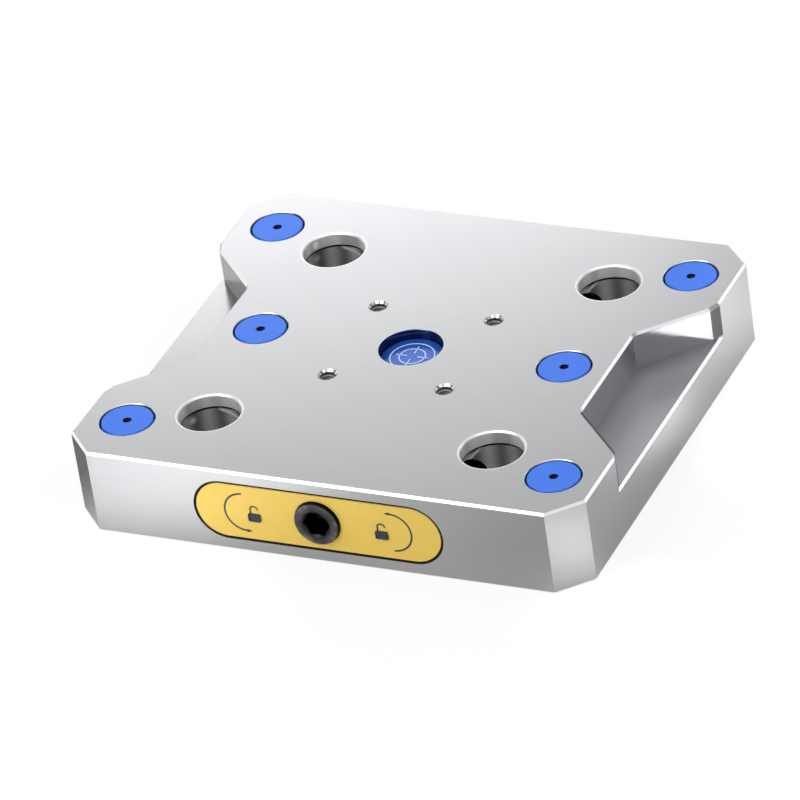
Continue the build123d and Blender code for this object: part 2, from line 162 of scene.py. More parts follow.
class ClampPlateStage(bpy.types.PropertyGroup):
    """Camera and light."""

    lens: bpy.props.FloatProperty(
        name="Lens", description="Focal length of the camera", default=303.35, unit="CAMERA"
    )
    daylight: brightness("Room light", 0.88, "Strength of the room's light on matt surfaces")
    ceiling: brightness("Ceiling", 0.22, "Brightness of the room above the plate")
    key: power("Key light", 0.74, "Power of the softbox behind")
    fill: power("Fill light", 5.0, "Power of the softbox in front")
    rim: power("Rim light", 0.6, "Power of the softbox behind right")
    left: power("Left light", 0.28, "Power of the softbox at the left")
    pool: power("Floor light", 22.0, "Power of a lamp on the floor whose share is 1")


# Shader maths


class Signal:
    """Output of a shader node that Python's operators can reckon with."""

    def __init__(self, nodes, socket):
        self.nodes = nodes
        self.socket = socket

    def maths(self, operation, *values):
        """A Math node on some values."""
        return self.nodes.node("ShaderNodeMath", {"operation": operation}, dict(enumerate(values)))

    def __add__(self, other):
        return self.maths("ADD", self, other)

    def __sub__(self, other):
        return self.maths("SUBTRACT", self, other)

    def __rsub__(self, other):
        return self.maths("SUBTRACT", other, self)

    def __mul__(self, other):
        return self.maths("MULTIPLY", self, other)

    def __gt__(self, other):
        return self.maths("GREATER_THAN", self, other)

    def __lt__(self, other):
        return self.maths("LESS_THAN", self, other)

    def __abs__(self):
        return self.maths("ABSOLUTE", self)

    __radd__ = __add__
    __rmul__ = __mul__

    def sine(self):
        """Sine of an angle in radians."""
        return self.maths("SINE", self)

    def root(self):
        """Square root."""
        return self.maths("SQRT", self)

    def waves(self, pitch):
        """Sine that repeats at a pitch."""
        return (self * (2 * math.pi / pitch)).sine()


class Nodes:
    """Node tree of a material or of the world, emptied and built anew."""

    def __init__(self, owner):
        owner.use_nodes = True
        self.tree = owner.node_tree
        self.tree.nodes.clear()

    def node(self, kind, settings=None, inputs=None, output=0):
        """Adds a node with its settings, then gives its sockets their values or links."""
        made = self.tree.nodes.new(kind)
        for setting, value in (settings or {}).items():
            setattr(made, setting, value)
        for socket, value in (inputs or {}).items():
            if isinstance(value, Signal):
                self.tree.links.new(value.socket, made.inputs[socket])
            else:
                made.inputs[socket].default_value = value
        return Signal(self, made.outputs[output]) if made.outputs else None

    def parts(self, vector):
        """The parts of a vector along X, Y and Z."""
        split = self.node("ShaderNodeSeparateXYZ", inputs={0: vector}).socket.node
        return [Signal(self, socket) for socket in split.outputs]

    def rays(self, kind):
        """1 for one kind of ray, such as the camera's, and 0 for all others."""
        return self.node("ShaderNodeLightPath", output=f"Is {kind} Ray")

    def ramp(self, signal, low, high):
        """0 below low, 1 above high and straight between."""
        return self.node(
            "ShaderNodeMapRange", inputs={0: signal, 1: low, 2: high, 3: 0.0, 4: 1.0}
        )


class Finish(Nodes):
    """A procedural material on Object coordinates."""

    def __init__(self, name):
        self.material = bpy.data.materials.get(name) or bpy.data.materials.new(name)
        super().__init__(self.material)
        self.place = self.node("ShaderNodeTexCoord", output="Object")
        self.x, self.y, self.z = self.parts(self.place)

    def noise(self, stretch, detail=3.0):
        """Noise from 0 to 1 whose grains per metre along X, Y and Z are the stretch."""
        scaled = self.node(
            "ShaderNodeVectorMath", {"operation": "MULTIPLY"}, {0: self.place, 1: stretch}
        )
        return self.node(
            "ShaderNodeTexNoise", inputs={"Vector": scaled, "Scale": 1.0, "Detail": detail}
        )

    def grain(self, fineness, detail=3.0):
        """Noise with as many grains per metre in every direction."""
        return self.noise((fineness,) * 3, detail)

    def mix(self, factor, first, second):
        """Mixes two colours."""
        values = {0: factor}
        for index, tone in ((6, first), (7, second)):
            values[index] = tone if isinstance(tone, Signal) else (*tone[:3], 1.0)
        return self.node("ShaderNodeMix", {"data_type": "RGBA"}, values, output=2)

    def layers(self, tone, *zones):
        """Lays tones over a first one, each in its own zone."""
        for zone, over in zones:
            tone = self.mix(zone, tone, over)
        return tone

    def shade(self, tone, factor):
        """Colour made lighter or darker by a factor around 1."""
        return self.node(
            "ShaderNodeVectorMath", {"operation": "SCALE"}, {0: tuple(tone)[:3], "Scale": factor}
        )

    def facing(self):
        """How far the surface faces along X, Y and Z, each from 0 to 1."""
        normal = self.node("ShaderNodeNewGeometry", output="Normal")
        return [abs(part) for part in self.parts(normal)]

    def bump(self, height, distance, strength=1.0):
        """Surface relief, with its height from 0 to 1 worth a distance in metres."""
        return self.node(
            "ShaderNodeBump", inputs={"Strength": strength, "Distance": distance, "Height": height}
        )

    def surface(self, **sockets):
        """Ends the material in one surface shader, whose sockets are named with low lines."""
        inputs = {}
        for name, value in sockets.items():
            if name == "base_color" and not isinstance(value, Signal):
                value = (*tuple(value)[:3], 1.0)
            inputs[name.replace("_", " ").title().replace("Ior", "IOR")] = value
        shader = self.node("ShaderNodeBsdfPrincipled", inputs=inputs)
        self.node("ShaderNodeOutputMaterial", inputs={"Surface": shader})
        return self.material


# Zones and distances that the materials read


def radius_about(across, up):
    """Distance from an axis, from the two coordinates across it."""
    return (across * across + up * up).root()


def angle_about(across, up):
    """Angle about an axis in radians, from the two coordinates across it."""
    return across.maths("ARCTAN2", up, across)


def near(signal, middle, reach):
    """1 within a reach of a middle value and 0 beyond it."""
    return abs(signal - middle) < reach


def between(signal, low, high):
    """1 between two values and 0 outside them."""
    return (signal > low) * (signal < high)


def fading(finish, signal, middle, full, gone):
    """1 up to one distance from a middle value, falling to 0 at a second one."""
    return 1.0 - finish.ramp(abs(signal - middle), full, gone)


def cap_radius(finish):
    """Distance from the axis of the nearest of the six caps."""
    middle_x, corner_x, corner_y, between_rows = 52.25 * MM, 72.25 * MM, 57.25 * MM, 30 * MM
    corner = abs(finish.y) > between_rows
    across = abs(finish.x) - (corner * (corner_x - middle_x) + middle_x)
    return radius_about(across, abs(finish.y) - corner * corner_y)


def centre_radius(finish):
    """Distance from the plate's middle axis."""
    return radius_about(finish.x, finish.y)


def spindle_radius(finish):
    """Distance from the spindle's axis."""
    return radius_about(finish.x, finish.z - SPINDLE_Z)


def pin_radius(finish):
    """Distance from the axis of the nearest clamping pin."""
    return radius_about(abs(finish.y) - STUD_PITCH / 2, finish.z - SPINDLE_Z)


class PlateZones:
    """Masks of the plate's bores, pockets and edges, each 1 in its zone and 0 elsewhere.

    Their bounds stand a little outside the faces that they hold.
    """

    def __init__(self, finish):
        self.finish = finish
        self.side_x, self.side_y = abs(finish.x), abs(finish.y)
        self.right, self.rear = finish.x > 0.0, finish.y > 0.0
        self.facing_x, _, self.facing_z = finish.facing()
        self.stud_bores()
        self.small_holes()
        self.pockets()
        self.edges()

    def by_side(self, left, right):
        """One value at the left side of the plate and another at the right."""
        return self.right * (right - left) + left

    def stud_bores(self):
        """Ground seats, the reliefs below them with a painted shadow under the seats, and a
        painted highlight on the rims.
        """
        wall, rim = 10.6 * MM, 10.75 * MM
        seat_bottom, seat_top = 24.71 * MM, 28.54 * MM
        step_light, step_dark = 23.55 * MM, 23.9 * MM
        bore_x = self.finish.x + (0.5 - self.right) * STUD_PITCH
        bore_y = self.finish.y + (0.5 - self.rear) * STUD_PITCH
        self.bore_radius = radius_about(bore_x, bore_y)
        self.bore_turn = angle_about(bore_x, bore_y)
        in_bore = self.bore_radius < wall
        self.relief = in_bore * (self.finish.z < seat_bottom)
        self.bore = in_bore * (self.finish.z < seat_top)
        self.seat = self.bore - self.relief
        # Painted highlight: a bright ring over the rim's chamfer and the top face just outside it
        self.rim = (self.bore_radius < rim) - self.bore
        # Painted shadow: a dark band at the top of the relief, just under the seat
        self.step = self.finish.ramp(self.finish.z, step_light, step_dark) * self.relief

    def small_holes(self):
        """Centre bore, tapped holes with painted highlights on the ends of their threads, and pin
        guides, all three painted dark inside as shade.
        """
        centre_wall, tap_wall, guide_wall, guide_end = 10.45 * MM, 3.3 * MM, 8.12 * MM, 41.5 * MM
        centre_top, tap_top, thread_low = 28.99 * MM, 28.95 * MM, 28.3 * MM
        # Number of painted highlights around a tapped hole, and the sine below which each is drawn
        marks, mark_sine = 11.0, 0.35
        height = self.finish.z
        self.centre = (centre_radius(self.finish) < centre_wall) * (height < centre_top)
        tap_x, tap_y = self.side_x - TAP_PITCH / 2, self.side_y - TAP_PITCH / 2
        self.tap_radius = radius_about(tap_x, tap_y)
        self.tapped = (self.tap_radius < tap_wall) * (height < tap_top)
        marked = (angle_about(tap_x, tap_y) * marks).sine() < mark_sine
        self.thread_end_highlights = self.tapped * (height > thread_low) * marked
        self.guide = (pin_radius(self.finish) < guide_wall) * (self.side_x < guide_end)

    def pockets(self):
        """Finger pockets, their floors, and the walls of the left one."""
        inner_x, outer_x, half_length = 66.9 * MM, 86.2 * MM, 46 * MM
        bottom, top = 16 * MM, 28.2 * MM
        inside = between(self.side_x, inner_x, outer_x) * (self.side_y < half_length)
        self.pocket = inside * between(self.finish.z, bottom, top)
        self.pocket_floor = self.pocket * (self.facing_z > 0.5)
        self.left_walls = (self.pocket - self.pocket_floor) * (1.0 - self.right)

    def edges(self):
        """Chamfers with a painted highlight, and painted shade on the edge of the right pocket's
        front end and on the wall ends.

        The pockets' slanted ends lie where side_x - side_y is end_line.
        """
        end_line, end_start = 45.2 * MM, -1.5 * MM
        end_x, end_reach, end_z, front_y = 76.6 * MM, 9.4 * MM, 28.15 * MM, -20 * MM
        wall_x, reach_x = 86.2 * MM, 0.9 * MM
        wall_y, reach_y = 42.15 * MM, 2.05 * MM
        wall_z, reach_z = 22.7 * MM, 5.4 * MM
        # Painted shade on the right pocket's front end edge and on the wall ends
        slanted = self.side_x - self.side_y - end_line > end_start
        dark_end = slanted * near(self.side_x, end_x, end_reach) * (self.finish.z > end_z)
        dark_end = dark_end * (self.finish.y < front_y) * self.right
        wall_end = near(self.side_x, wall_x, reach_x) * near(self.side_y, wall_y, reach_y)
        self.painted_shade_edge = dark_end + wall_end * near(self.finish.z, wall_z, reach_z)
        bore_chamfer, tap_chamfer = 11 * MM, 4 * MM
        sloping = between(self.facing_z, 0.5, 0.9)
        outside = (self.bore_radius > bore_chamfer) * (self.tap_radius > tap_chamfer)
        # Painted highlight on the sloping chamfers
        self.chamfers = sloping * outside

    def painted_bore_reflections(self):
        """Painted reflections: a light streak that falls towards the plate's middle in each bore's
        relief, and a light patch in the left bores.

        A span holds the distances up to which a light is full and at which it is gone.
        """
        finish, height = self.finish, self.finish.z
        start_inward, start_z = self.by_side(-2.9, 7.0) * MM, self.by_side(23.6, 24.0) * MM
        fall, run_in, streak_span = self.by_side(0.3, 0.7), 1.5 * MM, (0.3 * MM, 0.75 * MM)
        lit_z, lit_span = 22.4 * MM, (1.2 * MM, 2.2 * MM)
        past_start = STUD_PITCH / 2 - self.side_x - start_inward
        streak = fading(finish, height, start_z - past_start * fall, *streak_span)
        streak = streak * self.relief * finish.ramp(past_start, 0.0, run_in)
        streak = streak * fading(finish, height, lit_z, *lit_span)
        patch_angle, patch_span = 2.66, (0.03, 0.16)
        low_z, low_span, low_dimmed = 21.4 * MM, (0.4 * MM, 1.6 * MM), 0.4
        high_z, high_span, high_share = 26.7 * MM, (0.8 * MM, 1.6 * MM), 1.5
        patch = fading(finish, self.bore_turn, patch_angle, *patch_span)
        patch = patch * (1.0 - self.right) * self.bore
        low = fading(finish, height, low_z, *low_span) * (1.0 - self.rear * low_dimmed)
        high = fading(finish, height, high_z, *high_span) * self.rear * high_share
        return streak + patch * (low + high)


# Materials


# Painted highlight: near white tone laid on small faces and streaks in place of the light that
# they would catch
PAINTED_HIGHLIGHT = (0.97, 0.97, 0.98)


def ground_steel(look):
    """Finely ground plate with lines along its faces, honed bores and milled pockets, with painted
    highlights, shade and reflections.
    """
    finish = Finish("ground_steel_plate")
    zones = PlateZones(finish)
    along, across = 25.0, 2600.0
    lines_x = finish.noise((along, across, across), detail=4.0)
    lines_y = finish.noise((across, along, across), detail=4.0)
    lines = lines_x + (lines_y - lines_x) * (zones.facing_x > 0.8)
    cloud = finish.grain(28.0, detail=2.0)
    grain = finish.grain(1500.0, detail=2.0)
    patches = finish.ramp(finish.noise((160.0, 160.0, 1.0), detail=0.0), 0.42, 0.58)
    # Painted reflection: light and dark bands around each bore's relief wall, set where the lamps'
    # reflections fall
    band_count, band_turn = 8.0, 3.2
    painted_reflection_bands = (zones.bore_turn * band_count - band_turn).sine()
    tooling = finish.z.waves(0.5 * MM) * zones.relief
    painted_reflections = zones.painted_bore_reflections()
    # Pocket floors darker as milled faces, and the right floor darker than the left as painted
    # shade
    floor_tone = finish.mix(zones.right, (0.34, 0.34, 0.34), (0.24, 0.24, 0.26))
    tone = finish.layers(
        finish.shade(look.steel, 0.97 + lines * 0.06),
        # Seats lighter than the plate's steel, as painted light in the bores
        (zones.seat, finish.shade(look.bore, 0.72 + patches * 0.32)),
        (zones.relief, finish.shade(look.relief, 1.05 + painted_reflection_bands * 0.5)),
        # Painted highlight on the bores' rims
        (zones.rim, PAINTED_HIGHLIGHT),
        # Painted shade: the tapped holes dark inside
        (zones.tapped, (0.35, 0.35, 0.36)),
        # Painted highlights on the thread ends at the tapped holes' mouths
        (zones.thread_end_highlights, PAINTED_HIGHLIGHT),
        # Painted shade: the pin guide bores black, in the rubber's tone
        (zones.guide, look.rubber),
        (zones.pocket_floor * 0.5, floor_tone),
        # Painted highlight on the chamfers
        (zones.chamfers * 0.7, look.bore),
        # Painted shade: the left pocket's walls darker than the plate's steel
        (zones.left_walls, (0.46, 0.46, 0.47)),
        # Painted shade and a painted reflection of the blue plug on the centre bore's walls
        (zones.centre, (0.05, 0.07, 0.14)),
        # Painted shade on the pocket's end edge and the wall ends
        (zones.painted_shade_edge, (0.15, 0.15, 0.16)),
        # Painted shadow under the seats
        (zones.step, look.rubber),
        # Painted reflections: light streaks and patches in the bores
        (painted_reflections, PAINTED_HIGHLIGHT),
    )
    # Roughness of the ground faces, and of the bores and pockets, which are cut
    ground = look.steel_gloss - 0.04 + lines * 0.05 + cloud * 0.03
    cut = 0.1 + lines * 0.05 + zones.seat * 0.4 + zones.relief * 0.25 + zones.rim * 0.3
    cut = cut + zones.pocket_floor * zones.by_side(0.1, 0.35) + zones.left_walls * 0.1
    cut_faces = zones.bore + zones.centre + zones.pocket + zones.rim
    shiny_walls = zones.relief - zones.step + painted_reflections
    relief = (lines * 0.6 + grain * 0.25) * (1.0 - zones.pocket * 0.8) + tooling * 0.6
    return finish.surface(
        base_color=tone,
        metallic=1.0 - zones.seat * 0.4 - shiny_walls * 0.3 - zones.left_walls * 0.6,
        roughness=ground + (cut - ground) * cut_faces,
        normal=finish.bump(relief, 0.0015 * MM, 0.6),
    )


def turned_metal(name, tone, roughness, radius_of, metallic=1.0, hole=0.0, gloss=0.5):
    """Metal turned on a lathe, with fine rings about its own axis and a hole along it painted dark
    as shade.
    """
    finish = Finish(name)
    radius = radius_of(finish)
    rings = radius.waves(0.35 * MM)
    grain = finish.grain(2200.0)
    cloud = finish.grain(180.0, detail=2.0)
    bare = finish.shade(tone, 0.93 + grain * 0.08 + cloud * 0.06)
    if hole:
        # Painted shade: the hole is near black
        inside = radius < hole
        bare = finish.mix(inside, bare, (0.006, 0.008, 0.015))
        metallic = metallic + inside * (1 - metallic)
    return finish.surface(
        base_color=bare,
        metallic=metallic,
        specular_ior_level=gloss,
        roughness=roughness + grain * 0.08 + rings * 0.015,
        normal=finish.bump(rings * 0.5 + grain, 0.002 * MM),
    )


def anodised_plate(look):
    """Gold anodised sheet, finely brushed along its length."""
    finish = Finish("gold_anodised_sheet")
    brushed = finish.noise((60.0, 3500.0, 3500.0), detail=4.0)
    grain = finish.grain(1800.0, detail=2.0)
    return finish.surface(
        base_color=finish.shade(look.gold, 0.95 + brushed * 0.07 + grain * 0.03),
        metallic=0.12,
        roughness=0.4 + brushed * 0.1,
        normal=finish.bump(brushed * 0.7 + grain * 0.3, 0.0015 * MM),
    )


def black_oxide(look):
    """Blackened steel, worn lighter on the face of the spindle's head as wear and as a painted
    highlight, with its hex socket and the head's side painted near black as shade.
    """
    socket_radius, socket_y, socket_reach = 4.65 * MM, -74.5 * MM, 3.4 * MM
    face_inner, face_outer, head_edge = 4.6 * MM, 6.8 * MM, 7.3 * MM
    unlit = (0.004,) * 3
    finish = Finish("black_oxide_steel")
    radius = spindle_radius(finish)
    grain = finish.grain(1600.0)
    cloud = finish.grain(260.0, detail=2.0)
    face = finish.ramp(radius, face_inner, face_outer)
    # Lighter face ring of the head: partly wear, partly painted highlight
    wear_and_highlight = (finish.ramp(cloud, 0.45, 0.7) * 0.3 + 0.13) * face
    # Painted shade: the hex socket and the head's side near black
    dark = (radius < socket_radius) * near(finish.y, socket_y, socket_reach)
    dark = dark + (radius > head_edge)
    return finish.surface(
        base_color=finish.layers(look.black, (wear_and_highlight, look.hardened), (dark, unlit)),
        metallic=0.55 + dark * 0.45,
        roughness=0.3 + grain * 0.12,
        normal=finish.bump(grain + radius.waves(0.4 * MM) * 0.3, 0.002 * MM),
    )


def rubber(look):
    """Matt black rubber with a fine moulded grain."""
    finish = Finish("black_rubber_seal")
    grain = finish.grain(3000.0)
    return finish.surface(
        base_color=finish.shade(look.rubber, 0.8 + grain * 0.4),
        roughness=0.6 + grain * 0.2,
        specular_ior_level=0.15,
        normal=finish.bump(grain, 0.01 * MM),
    )


def print_ink(name, tone):
    """Screen printed ink, slightly uneven."""
    finish = Finish(name)
    grain = finish.grain(2500.0)
    return finish.surface(
        base_color=finish.shade(tone, 0.8 + grain * 0.4),
        roughness=0.45 + grain * 0.15,
        normal=finish.bump(grain, 0.003 * MM),
    )


def drawn_wire(look):
    """Drawn spring wire."""
    finish = Finish("drawn_spring_wire")
    grain = finish.noise((900.0, 5000.0, 5000.0))
    return finish.surface(
        base_color=finish.shade(look.hardened, 0.9 + grain * 0.2),
        metallic=1.0,
        roughness=0.22 + grain * 0.12,
        normal=finish.bump(grain, 0.003 * MM),
    )


def milled_metal(name, tone, roughness):
    """Milled face with the fine arcs of a cutter, swept about a point far to the right."""
    sweep_x, arc_pitch = 400 * MM, 0.6 * MM
    finish = Finish(name)
    arcs = radius_about(finish.x - sweep_x, finish.y).waves(arc_pitch)
    grain = finish.grain(1400.0)
    return finish.surface(
        base_color=finish.shade(tone, 0.94 + grain * 0.1),
        metallic=1.0,
        roughness=roughness + grain * 0.1 + arcs * 0.02,
        normal=finish.bump(arcs * 0.5 + grain * 0.15, 0.002 * MM),
    )


# Modelling helpers


def deselect():
    """Leaves nothing selected, so that the next operator acts on its own piece."""
    bpy.ops.object.select_all(action="DESELECT")


def take(piece):
    """Makes one piece the only selected and the active one."""
    deselect()
    piece.select_set(True)
    bpy.context.view_layer.objects.active = piece


def settle():
    """Sets the place, turn and size of the selected piece into its mesh."""
    bpy.ops.object.transform_apply(location=True, rotation=True, scale=True)


def named(name):
    """The primitive just added, under its own name."""
    piece = bpy.context.object
    piece.name = name
    piece.data.name = name
    return piece


def moved(piece, matrix):
    """Moves a piece and sets its place into its mesh."""
    take(piece)
    piece.matrix_world = matrix @ piece.matrix_world
    settle()
    return piece


def joined(name, pieces):
    """Joins pieces into one."""
    deselect()
    for piece in pieces:
        piece.select_set(True)
    bpy.context.view_layer.objects.active = pieces[0]
    bpy.ops.object.join()
    return named(name)


def closed(piece, edge_angle=40.0):
    """Closes open ends, turns the faces outwards and smooths all but the sharp edges."""
    take(piece)
    settle()
    bpy.ops.object.mode_set(mode="EDIT")
    bpy.ops.mesh.select_all(action="SELECT")
    bpy.ops.mesh.remove_doubles(threshold=0.002 * MM)
    bpy.ops.mesh.select_all(action="DESELECT")
    bpy.ops.mesh.select_non_manifold()
    bpy.ops.mesh.fill_holes(sides=0)
    bpy.ops.mesh.select_all(action="SELECT")
    bpy.ops.mesh.normals_make_consistent(inside=False)
    bpy.ops.object.mode_set(mode="OBJECT")
    bpy.ops.object.shade_smooth_by_angle(angle=math.radians(edge_angle))
    return piece


def copied(piece, name, matrix):
    """A copy with its own mesh, set in another place."""
    take(piece)
    bpy.ops.object.duplicate(linked=False)
    return moved(named(name), matrix)


def dress(piece, material, body=None):
    """Gives a new piece its material and its body."""
    piece.data.materials.clear()
    piece.data.materials.append(material)
    if body:
        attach(piece, body)
    return piece


def redress(nodes, material):
    """Gives solids of the frame a better material."""
    for node in nodes:
        for held in frame["nodes"][node].material_slots:
            held.material = material


def half_turn_about_spindle():
    """Half a turn about the spindle's axis."""
    place = Matrix.Translation((0, 0, SPINDLE_Z))
    return place @ Matrix.Rotation(math.pi, 4, "Y") @ place.inverted()


def arc_band(name, radius, width, thickness, start, sweep):
    """Flat band on an arc about the Y axis, with angles in degrees from +X towards +Z."""
    deselect()
    bpy.ops.mesh.primitive_plane_add(size=1, location=(radius, 0, 0))
    band = named(name)
    band.scale = (width, thickness, 1)
    settle()
    bpy.ops.object.mode_set(mode="EDIT")
    bpy.ops.mesh.select_all(action="SELECT")
    degrees_a_step = 5
    steps = max(2, round(abs(sweep) / degrees_a_step))
    bpy.ops.mesh.spin(
        steps=steps, angle=math.radians(sweep), center=(0, 0, 0), axis=(0, 1, 0)
    )
    bpy.ops.object.mode_set(mode="OBJECT")
    return moved(band, Matrix.Rotation(-math.radians(start), 4, "Y"))


def slab(name, width, height, thickness, rounding):
    """Flat plate in the XZ plane with rounded corners."""
    deselect()
    bpy.ops.mesh.primitive_cube_add(size=1)
    plate = named(name)
    plate.scale = (width, thickness, height)
    settle()
    for edge in plate.data.edges:
        low, high = (plate.data.vertices[index].co for index in edge.vertices)
        edge.select = abs(low.y - high.y) > thickness / 2
    bpy.ops.object.mode_set(mode="EDIT")
    bpy.ops.mesh.select_mode(type="EDGE")
    bpy.ops.mesh.bevel(offset=rounding, segments=5, affect="EDGES")
    bpy.ops.object.mode_set(mode="OBJECT")
    return plate


def thread_ridge(name, wall, crest, pitch, turns):
    """Helical ridge of an inside thread about Z, from the wall inwards to the crest."""
    deselect()
    bpy.ops.mesh.primitive_circle_add(
        vertices=3, radius=pitch / 2, rotation=(math.pi / 2, 0, 0), fill_type="NOTHING"
    )
    ridge = named(name)
    settle()
    half_base = 0.42 * pitch
    corners = (crest, 0, 0), (wall, 0, -half_base), (wall, 0, half_base)
    for vertex, place in zip(ridge.data.vertices, corners):
        vertex.co = place
    return wound(ridge, pitch, turns)


def wound(profile, pitch, turns):
    """Winds a profile into a helix about Z and closes its two ends."""
    steps = 28
    take(profile)
    bpy.ops.object.modifier_add(type="SCREW")
    screw = profile.modifiers[-1]
    screw.axis = "Z"
    screw.angle = 2 * math.pi
    screw.screw_offset = pitch
    screw.iterations = turns
    screw.steps = steps
    screw.render_steps = steps
    screw.use_normal_calculate = True
    bpy.ops.object.modifier_apply(modifier=screw.name)
    return closed(profile)


# Operators, one for each piece or group of like pieces


def finishes():
    """The user's finishes."""
    return bpy.context.scene.clamp_plate_finishes


class CLAMPPLATE_OT_plate_body(bpy.types.Operator):
    """Ground steel of the one-piece plate"""

    bl_idname = "clamp_plate.plate_body"
    bl_label = "Plate body"

    def execute(self, context):
        redress(["plate_body"], ground_steel(finishes()))
        return {"FINISHED"}


class CLAMPPLATE_OT_screw_caps(bpy.types.Operator):
    """Blue caps of the screw holes, with their sealing rings"""

    bl_idname = "clamp_plate.screw_caps"
    bl_label = "Screw caps"

    def execute(self, context):
        look = finishes()
        blue = turned_metal("blue_anodised_cap", look.blue, 0.36, cap_radius, 0.15, hole=1.4 * MM)
        redress([f"cap_{name}" for name in CAP_NAMES], blue)
        redress([f"cap_seal_{name}" for name in CAP_NAMES], rubber(look))
        return {"FINISHED"}


class CLAMPPLATE_OT_centre_plug(bpy.types.Operator):
    """Blue plug of the centre bore with a plain datum mark for the plate's zero point"""

    bl_idname = "clamp_plate.centre_plug"
    bl_label = "Centre plug"

    def execute(self, context):
        look, signs = finishes(), context.scene.clamp_plate_signs
        # Painted shade: the recessed plug gets the caps' blue darkened to three quarters
        shaded_blue = [part * 0.75 for part in look.blue]
        blue = turned_metal("blue_anodised_plug", shaded_blue, 0.16, centre_radius, 0.3, gloss=1.0)
        redress(["centre_plug"], blue)
        redress(["centre_plug_seal"], rubber(look))
        height, radius = signs.print_height, signs.datum_radius
        width, outer_radius = 0.7 * signs.line_width, 1.7 * radius
        tick_length, tick_place = 0.9 * radius, 0.85 * radius
        parts = [arc_band("ring", radius, width, height, 0, 360)]
        parts.append(arc_band("outer_ring", outer_radius, width, height, 0, 360))
        for quarter in range(4):
            tick = slab("tick", tick_length, width, height, 0.2 * width)
            turn = Matrix.Rotation(quarter * math.pi / 2, 4, "Y")
            parts.append(moved(tick, turn @ Matrix.Translation((tick_place, 0, 0))))
        mark = closed(joined("datum_mark", parts))
        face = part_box("centre_plug")[1].z + PRINT_LIFT * height
        lay = Matrix.Rotation(math.pi / 2, 4, "X")
        moved(mark, Matrix.Translation((0, 0, face)) @ lay)
        dress(mark, print_ink("plug_print", look.print_white), "plate")
        return {"FINISHED"}


class CLAMPPLATE_OT_sign_plate(bpy.types.Operator):
    """Gold sign plate and the dark gasket behind it"""

    bl_idname = "clamp_plate.sign_plate"
    bl_label = "Sign plate"

    def execute(self, context):
        look = finishes()
        redress(["label_plate"], anodised_plate(look))
        redress(["label_gasket"], rubber(look))
        return {"FINISHED"}


class CLAMPPLATE_OT_opening_arrows(bpy.types.Operator):
    """Two arrows that show the way to turn the spindle to open the plate"""

    bl_idname = "clamp_plate.opening_arrows"
    bl_label = "Opening arrows"

    def execute(self, context):
        look, signs = finishes(), context.scene.clamp_plate_signs
        height, radius = signs.print_height, signs.arrow_radius
        # Turns in degrees: the start of the arc, its sweep, and the place of its head
        start, sweep, head_turn = 92, 176, 274
        head_width, head_length = 0.75 * MM, 1.3 * MM
        arc = arc_band("arc", radius, signs.line_width, height, start, sweep)
        deselect()
        bpy.ops.mesh.primitive_cylinder_add(
            vertices=3, radius=1, depth=height, rotation=(math.pi / 2, 0, 0)
        )
        head = named("head")
        settle()
        tip = max(head.data.vertices, key=lambda vertex: abs(vertex.co.z)).co.z
        moved(head, Matrix.Diagonal((head_width, 1, math.copysign(head_length, tip), 1)))
        point = Matrix.Rotation(-math.radians(head_turn), 4, "Y")
        moved(head, point @ Matrix.Translation((radius, 0, 0)))
        arrow = closed(joined("opening_arrow_left", [arc, head]), PRINT_EDGE_ANGLE)
        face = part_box("label_plate")[0].y - PRINT_LIFT * height
        moved(arrow, Matrix.Translation((-signs.arrow_x, face, SPINDLE_Z)))
        twin = copied(arrow, "opening_arrow_right", half_turn_about_spindle())
        ink = print_ink("sign_ink", look.ink)
        for piece in (arrow, twin):
            dress(piece, ink, "plate")
        return {"FINISHED"}


class CLAMPPLATE_OT_lock_signs(bpy.types.Operator):
    """Two plain open padlocks beside the arrows"""

    bl_idname = "clamp_plate.lock_signs"
    bl_label = "Lock signs"

    def execute(self, context):
        look, signs = finishes(), context.scene.clamp_plate_signs
        height, width, line = signs.print_height, signs.lock_width, 0.9 * signs.line_width
        body_height, body_rounding = 0.68 * width, 0.5 * MM
        bow_radius, bow_z = 0.3 * width, 0.32 * width
        leg_height, leg_z = 0.36 * width, 0.15 * width
        body = slab("lock_body", width, body_height, height, body_rounding)
        moved(body, Matrix.Translation((0, 0, -body_height / 2)))
        bow = arc_band("lock_bow", bow_radius, line, height, 0, 180)
        moved(bow, Matrix.Translation((0, 0, bow_z)))
        leg = slab("lock_leg", line, leg_height, height, 0.1 * line)
        moved(leg, Matrix.Translation((-bow_radius, 0, leg_z)))
        sign = closed(joined("lock_sign_left", [body, bow, leg]), PRINT_EDGE_ANGLE)
        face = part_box("label_plate")[0].y - PRINT_LIFT * height
        moved(sign, Matrix.Translation((-signs.lock_x, face, SPINDLE_Z)))
        twin = copied(sign, "lock_sign_right", Matrix.Translation((2 * signs.lock_x, 0, 0)))
        ink = print_ink("lock_ink", look.ink)
        for piece in (sign, twin):
            dress(piece, ink, "plate")
        return {"FINISHED"}


class CLAMPPLATE_OT_spindle(bpy.types.Operator):
    """Black hex socket spindle and its seal"""

    bl_idname = "clamp_plate.spindle"
    bl_label = "Spindle"

    def execute(self, context):
        look = finishes()
        redress(["spindle"], black_oxide(look))
        redress(["spindle_seal"], rubber(look))
        return {"FINISHED"}


class CLAMPPLATE_OT_spindle_bearing(bpy.types.Operator):
    """Bronze bush and bearing washers around the spindle's collar"""

    bl_idname = "clamp_plate.spindle_bearing"
    bl_label = "Spindle bearing"

    def execute(self, context):
        bronze = turned_metal("bearing_bronze", finishes().bronze, 0.25, spindle_radius)
        redress(["retaining_bush", "front_thrust_washer", "rear_thrust_washer"], bronze)
        return {"FINISHED"}


